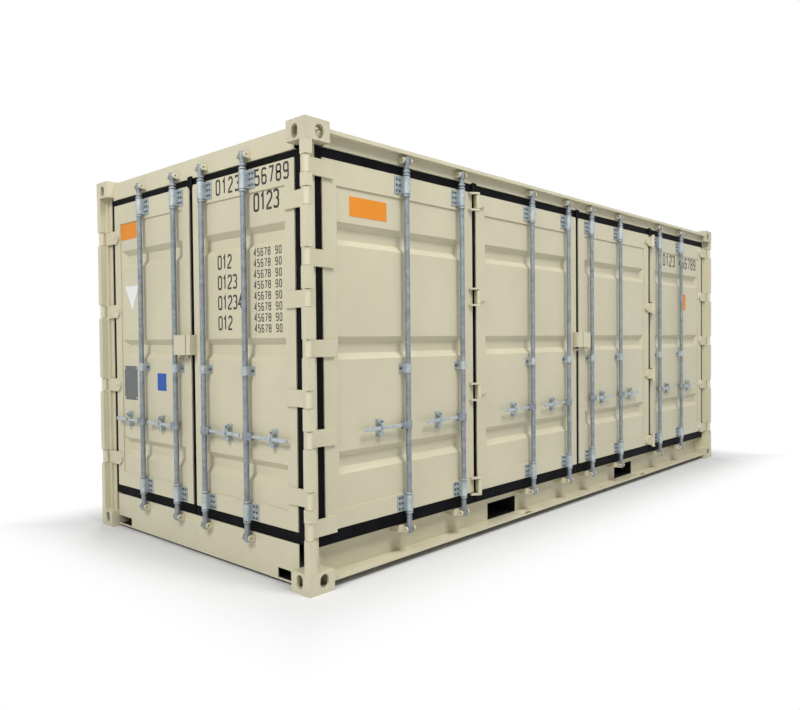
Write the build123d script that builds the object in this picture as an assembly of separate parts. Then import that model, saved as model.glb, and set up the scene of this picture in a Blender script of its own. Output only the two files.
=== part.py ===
from build123d import *
from dataclasses import dataclass
from math import atan2, degrees
import os

os.makedirs("parts", exist_ok=True)

# Twenty-foot open-side dry container, millimetres.
# The origin is on the ground below the middle of the box.
# X runs along the length, the end doors face -X and the folding side doors face -Y.

# Overall box
LENGTH = 6058
WIDTH = 2438
HEIGHT = 2591

# Heights measured down from the top of the box
HEADER_DROP = 16
RAIL_DROP = 36
SIDE_CAM_DROP = 96
END_CAM_DROP = 104
SIDE_OPENING_DROP = 125
TOP_TUBE_DROP = 131
END_OPENING_DROP = 140
LEAF_DROP = 185
TOP_BRACKET_DROP = 193
STOP_DROP = 195
SIDE_HINGE_DROP = 249
END_HINGE_DROP = 421
TOP_RIB_DROP = 593

# Corner castings
CASTING_LENGTH = 178
CASTING_WIDTH = 162
CASTING_HEIGHT = 118
CASTING_WALL = 17
CASTING_TOP_WALL = 28
CASTING_BACK_WALL = 10
SLOT_LENGTH = 124.5
SLOT_WIDTH = 63.5
SLOT_FROM_END = 102.5
SLOT_FROM_SIDE = 89.5
SIDE_HOLE_WIDTH = 63.5
END_HOLE_WIDTH = 51
HOLE_HEIGHT = 79.5

# Welded frame
PLATE = 6
POST_FACE = 62
POST_NECK = 16
BLIND_POST_DEPTH = 150
WALL_RECESS = 22
RAIL_FACE = 56
RAIL_LIP_REACH = 44
RAIL_LIP_HEIGHT = 23
SIDE_OPENING_BOTTOM = 233
END_OPENING_BOTTOM = 250
STOP_BOTTOM = 280
STOP_WIDTH = 28
STOP_LAND = 4
SILL_UNDERSIDE = 17
SILL_NOTCH_WIDTH = 190
SILL_NOTCH_FLOOR = 27
SILL_NOTCH_TOP = 85
RAIL_WEB = 8
FLANGE_THICKNESS = 12
LOWER_FLANGE_EDGE = 20
LOWER_FLANGE_UNDERSIDE = 42
UPPER_FLANGE_EDGE = 104
BACK_RAIL_BOTTOM = 48
BACK_RAIL_TOP = 265
BACK_RAIL_FLANGE = 42
TOP_TUBE_DEPTH = 60

# Floor, cross members and forklift pockets
FLOOR_TOP = 280
FLOOR_THICKNESS = 28
MEMBER_HEIGHT = 122
MEMBER_FLANGE = 45
MEMBER_PLATE = 4.5
MEMBER_SPACING = 310
POCKET_SPACING = 2050
POCKET_WIDTH = 352
POCKET_HEIGHT = 115
POCKET_STRAP = 200

# Corrugated panels
SHEET = 2
BACK_FLAT = 72
BACK_SLOPE = 68
BACK_DEPTH = 36
END_FLAT = 108
END_SLOPE = 18
END_DEPTH = 45
ROOF_PITCH = 209
ROOF_SWAGE_WIDTH = 118
ROOF_SWAGE_DEPTH = 18
ROOF_SWAGE_SLOPE = 24
ROOF_EDGE = 70

# Door leaves
LEAF_FACE = 56
LEAF_THICKNESS = 50
LEAF_BOTTOM = 317
HEAD_HEIGHT = 141
FOOT_HEIGHT = 109
INNER_LEAF_PITCH = 1460
LEAF_GAP = 44
SEAL_CLEARANCE = 5
SEAL_RECESS = 8
SEAL_STAND = 3
SHOULDER_CLEARANCE = 6
SEAL_EDGE = 44
SEAL_LIP = 20
SEAL_STEP = 14
PANEL_RECESS = 8
PANEL_SHEET = 3
RIB_HEIGHT = 133
SIDE_LOWER_RIBS = (1345, 687)
END_LOWER_RIBS = (1340, 618)
RIB_DEPTH = 34
RIB_SLOPE = 38
RIB_MARGIN = 4
SIDE_STILE = 107
END_STILE = 85

# Hinges
PIN_INSET = 25
PIN_RADIUS = 8
PIN_CLEARANCE = 0.3
KNUCKLE_RADIUS = 22
HINGE_HEIGHT = 95
HINGE_GAP = 3
STRAP_THICKNESS = 14
STRAP_REACH = 240
STRAP_TAPER = 34
COLUMN_WIDTH = 48
COLUMN_WELD = 10
COLUMN_LAND = 16
SIDE_HINGE_BOTTOM = 351
SIDE_HINGE_COUNT = 5
FOLD_HINGE_BOTTOM = 362
FOLD_HINGE_COUNT = 4
END_HINGE_BOTTOM = 520
END_HINGE_COUNT = 4
FOLD_AXIS_DEPTH = 20
FOLD_KNUCKLE_RADIUS = 15
FOLD_LUG_THICKNESS = 12
FOLD_LUG_REACH = 66
FOLD_LUG_NOSE = 10
FOLD_STRAP_REACH = 118

# Lock bars and their gear
BAR_RADIUS = 17
BAR_CLEARANCE = 0.4
OUTER_BARS = (178, 737)
INNER_BARS = (200, 753)
END_BARS = (169, 619)
CAM_WALL = 3
CAM_REACH = 7
CAM_HEIGHT = 44
CAM_ANGLE = 225
SIDE_CAM_BOTTOM = 207
END_CAM_BOTTOM = 218
EAR_RADIUS = 18
EAR_THICKNESS = 12
EAR_GAP = 4
EAR_HOLE = 7
KEEPER_REACH = 60
COLLAR_WALL = 4
COLLAR_HEIGHT = 18
SADDLE_WALL = 6
BRACKET_FOOT = 78
GUIDE_FOOT = 46
BRACKET_PLATE = 6
BRACKET_HEIGHT = 107
LOW_BRACKET = (322, 420)
MID_GUIDE_MIDDLE = 1213
MID_GUIDE_HEIGHT = 54

# Handles
SIDE_HANDLE_HEIGHT = 862
END_HANDLE_HEIGHT = 826
HANDLE_THICKNESS = 10
HANDLE_PIVOT = 44
HANDLE_END_RADIUS = 15
HANDLE_NECK = 18
HANDLE_NECK_START = 34
HANDLE_NECK_END = 150
HANDLE_PALM = 50
HANDLE_EDGE = 3
HANDLE_TIP = 385
HANDLE_TIP_HEIGHT = 24
HANDLE_PIN_RADIUS = 6
HUB_HEIGHT = 48
HUB_REACH = 60
HUB_CHEEK = 5
HUB_CLEARANCE = 1
CATCH_FROM_BAR = 232
CATCH_CLEARANCE = 5
CATCH_WIDTH = 44
CATCH_LOBE_RADIUS = 18
CATCH_LOBE_OFFSET = 36

# Lock boxes over the middle gaps
BOX_PLATE = 4
BOX_FRONT = 2
SIDE_BOX_MIDDLE = 1376
END_BOX_MIDDLE = 1368
SIDE_BOX_HEIGHT = 123
END_BOX_HEIGHT = 130
SIDE_BOX_LEFT = 84
SIDE_BOX_RIGHT = 130
END_BOX_LEFT = 146
END_BOX_RIGHT = 51



def span(middle, height):
    """The lowest and the highest point of something centred at a height."""
    return middle - height / 2, middle + height / 2


def evenly(low, high, count):
    """Heights in equal steps from the lowest to the highest."""
    return tuple(round(low + (high - low) * i / (count - 1)) for i in range(count))


# Values that follow from the driving dimensions
SIDE_WALL = Location((-LENGTH / 2, -WIDTH / 2, 0))
END_WALL = Location((-LENGTH / 2, WIDTH / 2, 0), (0, 0, -90))
CASTING_BOTTOM = HEIGHT - CASTING_HEIGHT
HEADER_TOP = HEIGHT - HEADER_DROP
RAIL_TOP = HEIGHT - RAIL_DROP
SIDE_CAM_TOP = HEIGHT - SIDE_CAM_DROP
END_CAM_TOP = HEIGHT - END_CAM_DROP
SIDE_OPENING_TOP = HEIGHT - SIDE_OPENING_DROP
TOP_TUBE_BOTTOM = HEIGHT - TOP_TUBE_DROP
END_OPENING_TOP = HEIGHT - END_OPENING_DROP
LEAF_TOP = HEIGHT - LEAF_DROP
STOP_TOP = HEIGHT - STOP_DROP
TOP_BRACKET = (HEIGHT - TOP_BRACKET_DROP - BRACKET_HEIGHT, HEIGHT - TOP_BRACKET_DROP)
SIDE_HINGES = evenly(SIDE_HINGE_BOTTOM, HEIGHT - SIDE_HINGE_DROP, SIDE_HINGE_COUNT)
FOLD_HINGES = evenly(FOLD_HINGE_BOTTOM, HEIGHT - SIDE_HINGE_DROP, FOLD_HINGE_COUNT)
END_HINGES = evenly(END_HINGE_BOTTOM, HEIGHT - END_HINGE_DROP, END_HINGE_COUNT)
SIDE_RIBS = tuple(span(middle, RIB_HEIGHT) for middle in (HEIGHT - TOP_RIB_DROP, *SIDE_LOWER_RIBS))
END_RIBS = tuple(span(middle, RIB_HEIGHT) for middle in (HEIGHT - TOP_RIB_DROP, *END_LOWER_RIBS))
MID_GUIDE = span(MID_GUIDE_MIDDLE, MID_GUIDE_HEIGHT)
SIDE_BOX = span(SIDE_BOX_MIDDLE, SIDE_BOX_HEIGHT)
END_BOX = span(END_BOX_MIDDLE, END_BOX_HEIGHT)
PANEL_FACE = LEAF_FACE + PANEL_RECESS
SEAL_FRONT = LEAF_FACE + SEAL_RECESS
SEAL_BACK = LEAF_FACE + LEAF_THICKNESS + SEAL_STAND
STOP_DEPTH = SEAL_BACK + SEAL_CLEARANCE
SHOULDER_STEP = STOP_DEPTH + POST_NECK
RAIL_WEB_DEPTH = STOP_DEPTH + STOP_WIDTH + STOP_LAND - RAIL_WEB
SHOULDER_STEP_DEPTH = SEAL_FRONT + SEAL_LIP + SHOULDER_CLEARANCE
POST_SHOULDER = SHOULDER_STEP - SEAL_STEP
SEAL_HINGE_EDGE = POST_SHOULDER + SEAL_CLEARANCE
LEAF_START = SEAL_HINGE_EDGE + SEAL_EDGE
FOLD_GAP = LENGTH / 2 - INNER_LEAF_PITCH
UPPER_FLANGE_UNDERSIDE = SIDE_OPENING_BOTTOM - FLANGE_THICKNESS
MEMBER_TOP = FLOOR_TOP - FLOOR_THICKNESS
MEMBER_BOTTOM = MEMBER_TOP - MEMBER_HEIGHT
BACK_WEB = WALL_RECESS + PLATE
CAM_RADIUS = BAR_RADIUS + CAM_WALL
CAM_NOSE = BAR_RADIUS + CAM_REACH
BAR_DEPTH = CAM_NOSE
COLLAR_RADIUS = BAR_RADIUS + COLLAR_WALL
SADDLE_RADIUS = BAR_RADIUS + SADDLE_WALL
POCKET_FLOOR = LOWER_FLANGE_UNDERSIDE + FLANGE_THICKNESS
POCKET_TOP = POCKET_FLOOR + POCKET_HEIGHT
POCKET_CENTRES = (-POCKET_SPACING / 2, POCKET_SPACING / 2)


@dataclass
class Leaf:
    """A door leaf, drawn with its hinge on the left and mirrored where it hangs on the right."""

    name: str
    wall: str
    mirrored: bool
    left: float
    right: float
    seal_left: float
    seal_right: float
    stile: float
    ribs: tuple
    hinges: tuple
    bars: tuple
    hangs_on_leaf: bool = False
    carries_leaf: bool = False
    tapered: bool = False
    box: tuple = ()
    box_reach: float = 0


def block(x0, x1, y0, y1, z0, z1):
    """A rectangular block between two corners."""
    middle = Pos((x0 + x1) / 2, (y0 + y1) / 2, (z0 + z1) / 2)
    return middle * Box(abs(x1 - x0), abs(y1 - y0), abs(z1 - z0))


def lengthwise(outline, x0, x1):
    """A prism along X from a section face drawn in depth and height."""
    return extrude(Plane.YZ.offset(x0) * outline, amount=x1 - x0)


def facing(outline, y0, y1):
    """A prism through the depth from a face drawn as it looks from outside."""
    plane = Plane(origin=(0, y1, 0), x_dir=(1, 0, 0), z_dir=(0, -1, 0))
    return extrude(plane * outline, amount=y1 - y0)


def section(points):
    """A closed outline as a face."""
    return make_face(Polyline(*points, close=True))


def tube_section(points, wall):
    """A closed outline with the same outline cut out one wall further in."""
    return section(points) - section(inset(points, wall))


def inset(points, wall):
    """A closed outline moved inward by one wall, mitred at its corners."""
    area = sum(a[0] * b[1] - b[0] * a[1] for a, b in zip(points, points[1:] + points[:1]))
    turn = 1 if area > 0 else -1
    moved = []
    for i, point in enumerate(points):
        here = Vector(*point)
        arriving = (here - Vector(*points[i - 1])).normalized()
        leaving = (Vector(*points[(i + 1) % len(points)]) - here).normalized()
        normal = Vector(-arriving.Y, arriving.X) * turn
        mitre = (normal + Vector(-leaving.Y, leaving.X) * turn).normalized()
        corner = here + mitre * (wall / mitre.dot(normal))
        moved.append((corner.X, corner.Y))
    return moved


def vertical_rod(x, y, radius, z0, z1):
    """An upright round bar."""
    return Pos(x, y, (z0 + z1) / 2) * Cylinder(radius, z1 - z0)


def depth_pin(x, z, radius, y0, y1):
    """A round pin square to the door face."""
    return Pos(x, (y0 + y1) / 2, z) * Rot(90, 0, 0) * Cylinder(radius, abs(y1 - y0))


def cross_pin(y, z, radius, x0, x1):
    """A round pin along the door face."""
    return Pos((x0 + x1) / 2, y, z) * Rot(0, 90, 0) * Cylinder(radius, abs(x1 - x0))


def tray(x0, x1, z0, z1, mouth, floor, run):
    """A pressed recess with sloping sides, from its mouth back to its floor."""
    middle = ((x0 + x1) / 2, mouth, (z0 + z1) / 2)
    plane = Plane(origin=middle, x_dir=(1, 0, 0), z_dir=(0, 1, 0))
    depth = floor - mouth
    return extrude(plane * Rectangle(x1 - x0, z1 - z0), amount=depth, taper=degrees(atan2(run, depth)))


def corrugated(start, end, flat, slope, depth):
    """Centred trapezoid corrugation, as points along the wall and into the box."""
    pitch = 2 * (flat + slope)
    count = int((end - start - flat) // pitch)
    margin = (end - start - count * pitch + flat) / 2
    points = [(start, 0)]
    for wave in range(count):
        foot = start + margin + wave * pitch
        points += [(foot, 0), (foot + slope, depth)]
        points += [(foot + slope + flat, depth), (foot + 2 * slope + flat, 0)]
    return points + [(end, 0)]


def sheet_section(points, thickness):
    """A bent sheet: the line of points and the same line one thickness further in."""
    inner = []
    for i, (x, y) in enumerate(points):
        before = Vector(*points[max(i - 1, 0)])
        here = Vector(x, y)
        after = Vector(*points[min(i + 1, len(points) - 1)])
        arriving = (here - before).normalized() if i > 0 else (after - here).normalized()
        leaving = (after - here).normalized() if i < len(points) - 1 else arriving
        normal_in = Vector(-arriving.Y, arriving.X)
        normal_out = Vector(-leaving.Y, leaving.X)
        mitre = (normal_in + normal_out).normalized()
        shift = mitre * (thickness / mitre.dot(normal_in))
        inner.append((x + shift.X, y + shift.Y))
    return section(points + inner[::-1])


def corners(shape):
    """The shape in all four corners of the plan, mirrored from the door corner."""
    pair = [shape, mirror(shape, about=Plane.YZ)]
    return pair + [mirror(piece, about=Plane.XZ) for piece in pair]


def place(shape, leaf):
    """A shape drawn on the left-hung leaf, moved to where this leaf hangs."""
    span = LENGTH if leaf.wall == "side" else WIDTH
    wall = SIDE_WALL if leaf.wall == "side" else END_WALL
    if leaf.mirrored:
        shape = Pos(span, 0, 0) * mirror(shape, about=Plane.YZ)
    return wall * shape


def corner_casting():
    """The lower casting at the door corner, hollow, with its slot and two side holes."""
    body = block(0, CASTING_LENGTH, 0, CASTING_WIDTH, 0, CASTING_HEIGHT)
    cavity_top = CASTING_TOP_WALL + HOLE_HEIGHT
    cavity_end = CASTING_LENGTH - CASTING_BACK_WALL
    cavity_side = CASTING_WIDTH - CASTING_BACK_WALL
    body -= block(CASTING_WALL, cavity_end, CASTING_WALL, cavity_side, CASTING_TOP_WALL, cavity_top)
    slot = Pos(SLOT_FROM_END, SLOT_FROM_SIDE) * SlotOverall(SLOT_LENGTH, SLOT_WIDTH)
    body -= extrude(slot, amount=CASTING_TOP_WALL + 1)
    hole_middle = CASTING_TOP_WALL + HOLE_HEIGHT / 2
    side_hole = Pos(SLOT_FROM_END, hole_middle) * SlotOverall(HOLE_HEIGHT, SIDE_HOLE_WIDTH, rotation=90)
    body -= facing(side_hole, 0, CASTING_WALL + 1)
    end_hole = Pos(SLOT_FROM_SIDE, hole_middle) * SlotOverall(HOLE_HEIGHT, END_HOLE_WIDTH, rotation=90)
    body -= lengthwise(end_hole, 0, CASTING_WALL + 1)
    return body


def corner_castings():
    lower = SIDE_WALL * corner_casting()
    upper = Pos(0, 0, HEIGHT) * mirror(lower, about=Plane.XY)
    return Compound(children=corners(lower) + corners(upper))


def casting_envelopes():
    """The eight outer blocks of the castings, which the rails are coped around."""
    lower = SIDE_WALL * block(0, CASTING_LENGTH, 0, CASTING_WIDTH, 0, CASTING_HEIGHT)
    upper = Pos(0, 0, CASTING_BOTTOM) * lower
    blocks = corners(lower) + corners(upper)
    return blocks


def cope(shape, cutters):
    """The shape with each cutter taken away in turn."""
    for cutter in cutters:
        shape = shape - cutter
    return shape


def corner_posts():
    """Four pressed posts, with a shoulder and a stop wherever a door closes on them."""
    door_corner = [
        (POST_FACE, POST_FACE),
        (POST_SHOULDER, POST_FACE),
        (POST_SHOULDER, SHOULDER_STEP_DEPTH),
        (SHOULDER_STEP, SHOULDER_STEP_DEPTH),
        (SHOULDER_STEP, STOP_DEPTH),
        (CASTING_LENGTH, STOP_DEPTH),
        (CASTING_LENGTH, CASTING_WIDTH),
        (STOP_DEPTH, CASTING_WIDTH),
        (STOP_DEPTH, SHOULDER_STEP),
        (SHOULDER_STEP_DEPTH, SHOULDER_STEP),
        (SHOULDER_STEP_DEPTH, POST_SHOULDER),
        (POST_FACE, POST_SHOULDER),
    ]
    side_only = [
        (POST_FACE, POST_FACE),
        (POST_SHOULDER, POST_FACE),
        (POST_SHOULDER, SHOULDER_STEP_DEPTH),
        (SHOULDER_STEP, SHOULDER_STEP_DEPTH),
        (SHOULDER_STEP, STOP_DEPTH),
        (CASTING_LENGTH, STOP_DEPTH),
        (CASTING_LENGTH, BLIND_POST_DEPTH),
        (WALL_RECESS, BLIND_POST_DEPTH),
        (WALL_RECESS, POST_FACE + COLUMN_WELD),
        (POST_FACE, POST_FACE + COLUMN_WELD),
    ]
    end_only = [
        (POST_FACE, POST_FACE),
        (POST_FACE, POST_SHOULDER),
        (SHOULDER_STEP_DEPTH, POST_SHOULDER),
        (SHOULDER_STEP_DEPTH, SHOULDER_STEP),
        (STOP_DEPTH, SHOULDER_STEP),
        (STOP_DEPTH, CASTING_WIDTH),
        (BLIND_POST_DEPTH, CASTING_WIDTH),
        (BLIND_POST_DEPTH, WALL_RECESS),
        (POST_FACE + COLUMN_WELD, WALL_RECESS),
        (POST_FACE + COLUMN_WELD, POST_FACE),
    ]
    inner = WALL_RECESS + TOP_TUBE_DEPTH
    blind = [
        (WALL_RECESS, WALL_RECESS),
        (BLIND_POST_DEPTH, WALL_RECESS),
        (BLIND_POST_DEPTH, inner),
        (inner, inner),
        (inner, BLIND_POST_DEPTH),
        (WALL_RECESS, BLIND_POST_DEPTH),
    ]

    def post(points):
        face = tube_section(points, PLATE)
        stand = Plane.XY.offset(CASTING_HEIGHT) * face
        return SIDE_WALL * extrude(stand, amount=CASTING_BOTTOM - CASTING_HEIGHT)

    return Compound(children=[
        post(door_corner),
        mirror(post(side_only), about=Plane.YZ),
        mirror(post(end_only), about=Plane.XZ),
        mirror(mirror(post(blind), about=Plane.YZ), about=Plane.XZ),
    ])


def along_side(outline):
    """A prism between the posts of the door side from a section drawn in depth and height."""
    return SIDE_WALL * lengthwise(outline, CASTING_LENGTH, LENGTH - CASTING_LENGTH)


def upright_box(depth0, depth1, z0, z1):
    """The four corners of a rectangular section."""
    return [(depth0, z0), (depth0, z1), (depth1, z1), (depth1, z0)]


def top_side_rails():
    """The boxed rail over the side doors and the plain tube over the back wall."""
    door_rail = upright_box(RAIL_FACE, CASTING_WIDTH, SIDE_OPENING_TOP, RAIL_TOP)
    front = along_side(tube_section(door_rail, PLATE))
    outer = WIDTH - WALL_RECESS
    back_rail = tube_section(upright_box(outer - TOP_TUBE_DEPTH, outer, TOP_TUBE_BOTTOM, RAIL_TOP), PLATE)
    back = SIDE_WALL * lengthwise(back_rail, BLIND_POST_DEPTH, LENGTH - BLIND_POST_DEPTH)
    return Compound(children=[front, cope(back, casting_envelopes())])


def side_rain_lip():
    """The boxed lip that sheds rain in front of the side doors."""
    lip = upright_box(RAIL_FACE - RAIL_LIP_REACH, RAIL_FACE, RAIL_TOP - RAIL_LIP_HEIGHT, RAIL_TOP)
    return along_side(tube_section(lip, PLATE))


def side_door_stops():
    """The stops over and under the side opening, which the seals close on."""
    upper = upright_box(STOP_DEPTH, CASTING_WIDTH, STOP_TOP, SIDE_OPENING_TOP)
    lower = upright_box(STOP_DEPTH, STOP_DEPTH + STOP_WIDTH, SIDE_OPENING_BOTTOM, STOP_BOTTOM)
    return Compound(children=[along_side(tube_section(points, PLATE)) for points in (upper, lower)])


def pocket_envelopes():
    """The room that each forklift pocket takes where it passes through the rail webs."""
    reach = POCKET_WIDTH / 2 + PLATE
    front = -WIDTH / 2 + RAIL_WEB_DEPTH
    return [
        block(x - reach, x + reach, front, WIDTH / 2, 0, POCKET_TOP + PLATE)
        for x in POCKET_CENTRES
    ]


def bottom_side_rails():
    """The outward channel under the side doors and the plain channel under the back wall."""
    web_back = RAIL_WEB_DEPTH + RAIL_WEB
    door_rail = section([
        (LOWER_FLANGE_EDGE, LOWER_FLANGE_UNDERSIDE),
        (web_back, LOWER_FLANGE_UNDERSIDE),
        (web_back, SIDE_OPENING_BOTTOM),
        (UPPER_FLANGE_EDGE, SIDE_OPENING_BOTTOM),
        (UPPER_FLANGE_EDGE, UPPER_FLANGE_UNDERSIDE),
        (RAIL_WEB_DEPTH, UPPER_FLANGE_UNDERSIDE),
        (RAIL_WEB_DEPTH, POCKET_FLOOR),
        (LOWER_FLANGE_EDGE, POCKET_FLOOR),
    ])
    front = along_side(door_rail)
    outer = WIDTH - WALL_RECESS
    back_rail = section(channel(outer, -1, BACK_RAIL_FLANGE, BACK_RAIL_BOTTOM, BACK_RAIL_TOP, PLATE))
    back = SIDE_WALL * lengthwise(back_rail, BLIND_POST_DEPTH, LENGTH - BLIND_POST_DEPTH)
    back = cope(back, casting_envelopes())
    return Compound(children=[cope(rail, pocket_envelopes()) for rail in (front, back)])


def channel(back, toward, flange, bottom, top, plate):
    """The outline of a channel whose web stands at back and whose flanges point one way."""
    web = back + toward * plate
    tip = back + toward * flange
    return [
        (back, bottom),
        (tip, bottom),
        (tip, bottom + plate),
        (web, bottom + plate),
        (web, top - plate),
        (tip, top - plate),
        (tip, top),
        (back, top),
    ]


def across_box(outline, from_side, to_side):
    """A prism across the box from a section drawn in depth from the door end and height."""
    return END_WALL * lengthwise(outline, WIDTH - to_side, WIDTH - from_side)


def door_header():
    """The boxed beam over the end doors, with the stop that their seal closes on."""
    beam = tube_section([
        (RAIL_FACE, END_OPENING_TOP),
        (RAIL_FACE, HEADER_TOP),
        (CASTING_LENGTH, HEADER_TOP),
        (CASTING_LENGTH, STOP_TOP),
        (STOP_DEPTH, STOP_TOP),
        (STOP_DEPTH, END_OPENING_TOP),
    ], PLATE)
    return across_box(beam, CASTING_WIDTH, WIDTH - CASTING_WIDTH)


def door_sill():
    """The boxed beam under the end doors, notched beside the castings."""
    beam = tube_section([
        (RAIL_FACE, SILL_UNDERSIDE),
        (RAIL_FACE, END_OPENING_BOTTOM),
        (STOP_DEPTH, END_OPENING_BOTTOM),
        (STOP_DEPTH, STOP_BOTTOM),
        (STOP_DEPTH + STOP_WIDTH, STOP_BOTTOM),
        (STOP_DEPTH + STOP_WIDTH, SILL_UNDERSIDE),
    ], PLATE)
    sill = across_box(beam, CASTING_WIDTH, WIDTH - CASTING_WIDTH)
    reach = CASTING_WIDTH + SILL_NOTCH_WIDTH
    front = RAIL_FACE + PLATE + 1
    notch = block(0, front, 0, reach, SILL_NOTCH_FLOOR, SILL_NOTCH_TOP)
    notches = [SIDE_WALL * notch, mirror(SIDE_WALL * notch, about=Plane.XZ)]
    return cope(sill, notches)


def blind_end_rails():
    """The tube over the blind end wall and the channel under it."""
    outer = LENGTH - WALL_RECESS
    tube = tube_section(upright_box(outer - TOP_TUBE_DEPTH, outer, TOP_TUBE_BOTTOM, RAIL_TOP), PLATE)
    lower = section(channel(outer, -1, BACK_RAIL_FLANGE, BACK_RAIL_BOTTOM, BACK_RAIL_TOP, PLATE))
    rails = [across_box(face, BLIND_POST_DEPTH, WIDTH - BLIND_POST_DEPTH) for face in (tube, lower)]
    return Compound(children=[cope(rail, casting_envelopes()) for rail in rails])


def member_places():
    """Cross member centres in the bays that the pockets leave free, measured along X."""
    wall = POCKET_WIDTH / 2 + PLATE
    clear = wall + MEMBER_FLANGE
    start = -LENGTH / 2 + CASTING_LENGTH + MEMBER_FLANGE
    end = LENGTH / 2 - CASTING_LENGTH - MEMBER_FLANGE
    first, second = POCKET_CENTRES
    bays = [(start, first - clear), (first + clear, second - clear), (second + clear, end)]
    places = []
    for low, high in bays:
        steps = max(1, round((high - low) / MEMBER_SPACING))
        places += [low + (high - low) * i / steps for i in range(steps + 1)]
    return places


def cross_members():
    """The pressed channels that carry the floor from web to web."""
    front = -WIDTH / 2 + RAIL_WEB_DEPTH + RAIL_WEB
    back = WIDTH / 2 - BACK_WEB
    outline = channel(0, 1, MEMBER_FLANGE, MEMBER_BOTTOM, MEMBER_TOP, MEMBER_PLATE)
    plane = Plane(origin=(0, back, 0), x_dir=(1, 0, 0), z_dir=(0, -1, 0))
    member = extrude(plane * section(outline), amount=back - front)
    shift = MEMBER_FLANGE / 2
    return Compound(children=[Pos(x - shift, 0, 0) * member for x in member_places()])


def forklift_pockets():
    """Two tunnels across the base, open below except for a strap at each mouth."""
    half = POCKET_WIDTH / 2
    front = -WIDTH / 2 + RAIL_WEB_DEPTH
    back = WIDTH / 2 - WALL_RECESS
    pockets = []
    for x in POCKET_CENTRES:
        wall = half + PLATE
        shell = block(x - wall, x + wall, front, back, LOWER_FLANGE_UNDERSIDE, POCKET_TOP + PLATE)
        shell -= block(x - half, x + half, front - 1, back + 1, POCKET_FLOOR, POCKET_TOP)
        shell -= block(x - half, x + half, front + POCKET_STRAP, back - POCKET_STRAP, 0, POCKET_FLOOR)
        pockets.append(shell)
    return Compound(children=pockets)


def plywood_floor():
    """The plywood deck between the two thresholds and the walls."""
    front = -WIDTH / 2 + STOP_DEPTH + STOP_WIDTH
    back = WIDTH / 2 - WALL_RECESS - TOP_TUBE_DEPTH
    door_end = -LENGTH / 2 + STOP_DEPTH + STOP_WIDTH
    blind_end = LENGTH / 2 - WALL_RECESS - TOP_TUBE_DEPTH
    deck = block(door_end, blind_end, front, back, MEMBER_TOP, FLOOR_TOP)
    corner = SIDE_WALL * block(0, CASTING_LENGTH, 0, CASTING_WIDTH, 0, HEIGHT)
    far = mirror(SIDE_WALL * block(0, CASTING_LENGTH, 0, BLIND_POST_DEPTH, 0, HEIGHT), about=Plane.YZ)
    back_door = mirror(SIDE_WALL * block(0, BLIND_POST_DEPTH, 0, CASTING_WIDTH, 0, HEIGHT), about=Plane.XZ)
    blind = SIDE_WALL * block(0, BLIND_POST_DEPTH, 0, BLIND_POST_DEPTH, 0, HEIGHT)
    blind = mirror(mirror(blind, about=Plane.YZ), about=Plane.XZ)
    return cope(deck, [corner, far, back_door, blind])


def roof_panel():
    """The roof sheet on the rails, stiffened by swages pressed up across it."""
    start = -LENGTH / 2 + CASTING_LENGTH
    end = LENGTH / 2 - WALL_RECESS
    front = -WIDTH / 2 + RAIL_FACE
    back = WIDTH / 2 - WALL_RECESS
    sheet = block(start, end, front, back, RAIL_TOP, RAIL_TOP + SHEET)
    first = start + ROOF_EDGE
    last = end - ROOF_EDGE - ROOF_SWAGE_WIDTH
    count = int((last - first) // ROOF_PITCH) + 1
    edge = first + (last - first - (count - 1) * ROOF_PITCH) / 2
    low = CASTING_WIDTH - WIDTH / 2 + ROOF_EDGE
    high = WIDTH / 2 - CASTING_WIDTH - ROOF_EDGE
    for i in range(count):
        x0 = edge + i * ROOF_PITCH
        sheet += roof_swage(x0, low, high, SHEET, RAIL_TOP)
    for i in range(count):
        x0 = edge + i * ROOF_PITCH
        sheet -= roof_swage(x0, low, high, 0, RAIL_TOP)
    return cope(sheet, casting_envelopes())


def roof_swage(x0, low, high, grow, base):
    """One long raised swage, grown by the sheet for its outside."""
    foot = Pos(x0 + ROOF_SWAGE_WIDTH / 2, (low + high) / 2, base)
    outline = Rectangle(ROOF_SWAGE_WIDTH + 2 * grow, high - low + 2 * grow)
    side = degrees(atan2(ROOF_SWAGE_SLOPE, ROOF_SWAGE_DEPTH))
    return extrude(foot * outline, amount=ROOF_SWAGE_DEPTH + grow, taper=side)


def back_wall():
    """The corrugated long wall between the back rails and posts."""
    start = BLIND_POST_DEPTH
    line = corrugated(start, LENGTH - start, BACK_FLAT, BACK_SLOPE, BACK_DEPTH)
    face = sheet_section([(x, -y) for x, y in line][::-1], SHEET)
    shifted = Pos(-LENGTH / 2, WIDTH / 2 - WALL_RECESS, BACK_RAIL_TOP) * face
    return extrude(shifted, amount=TOP_TUBE_BOTTOM - BACK_RAIL_TOP)


def blind_end_wall():
    """The corrugated end wall between the far posts."""
    start = BLIND_POST_DEPTH
    line = corrugated(start, WIDTH - start, END_FLAT, END_SLOPE, END_DEPTH)
    face = sheet_section([(-depth, along) for along, depth in line], SHEET)
    shifted = Pos(LENGTH / 2 - WALL_RECESS, -WIDTH / 2, BACK_RAIL_TOP) * face
    return extrude(shifted, amount=TOP_TUBE_BOTTOM - BACK_RAIL_TOP)


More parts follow.
